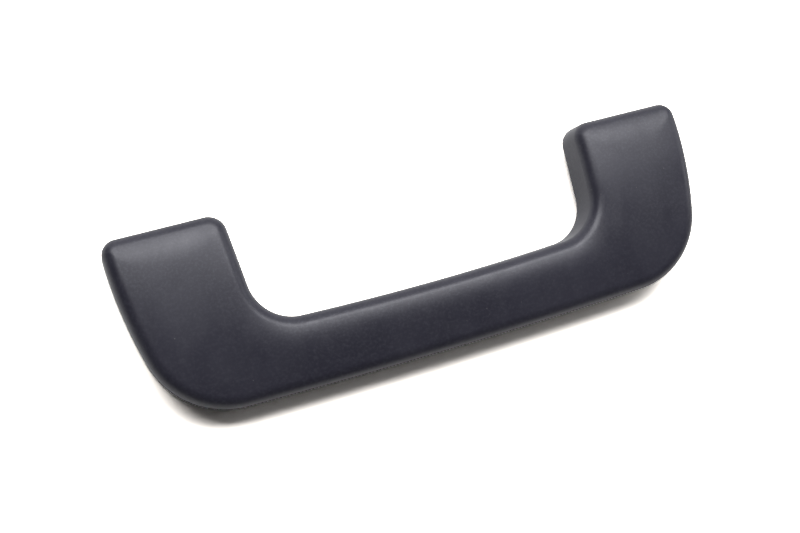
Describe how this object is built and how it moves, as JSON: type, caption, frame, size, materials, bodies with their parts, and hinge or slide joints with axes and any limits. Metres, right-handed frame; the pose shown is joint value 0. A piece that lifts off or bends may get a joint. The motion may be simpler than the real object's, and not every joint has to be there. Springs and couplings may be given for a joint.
{
  "type": "folding roof grab handle",
  "caption": "U-shaped soft-touch roof grab handle, spring-returned and damped on hinge brackets hidden in its ends, each with a bolt hole.",
  "frame": {"origin": "midway between the two bolt holes, on the plane of the bracket feet, which is the roof panel's face", "axes": "+X along the grip, +Y from the bolts towards the hinge, +Z away from the roof panel, out of the handle's front face"},
  "size_m": [0.251, 0.0783, 0.0255],
  "materials": {
    "soft_touch": "satin soft-touch paint, anthracite with a faint blue cast",
    "soft_touch_back": "fine-grained moulded plastic, anthracite",
    "zinc_steel": "zinc plated",
    "cast_zinc": "die-cast, tumbled",
    "black_plastic": "fine-grained moulded plastic",
    "pin_steel": "ground",
    "bush_plastic": "natural acetal",
    "spring_steel": "oiled spring wire",
    "stop_rubber": "moulded rubber"
  },
  "bodies": {
    "brackets": {"bracket_left": "cast_zinc", "bracket_right": "cast_zinc", "bolt_cover_left": "black_plastic", "bolt_cover_right": "black_plastic", "bush_left_inner": "bush_plastic", "bush_left_outer": "bush_plastic", "bush_right_inner": "bush_plastic", "bush_right_outer": "bush_plastic", "spring_sleeve": "bush_plastic", "return_spring": "spring_steel", "damper_housing": "black_plastic", "damper_seal": "stop_rubber", "damper_cap": "black_plastic", "closed_stop_left": "stop_rubber", "closed_stop_right": "stop_rubber", "open_stop_left": "stop_rubber", "open_stop_right": "stop_rubber"},
    "handle": {"grip_cover": "soft_touch", "grip_back": "soft_touch_back", "grip_screws": "zinc_steel", "pivot_pin_left": "pin_steel", "pivot_pin_right": "pin_steel", "damper_rotor": "bush_plastic"}
  },
  "joints": [
    {"name": "handle_hinge", "type": "hinge", "parent": "brackets", "child": "handle", "pos_m": [0, 0.03, 0.01524], "axis": [-1, 0, 0], "range_deg": [0, 96], "stiffness_Nm_per_rad": 0.15, "springref_deg": -57.3, "deforming": ["return_spring"]}
  ]
}
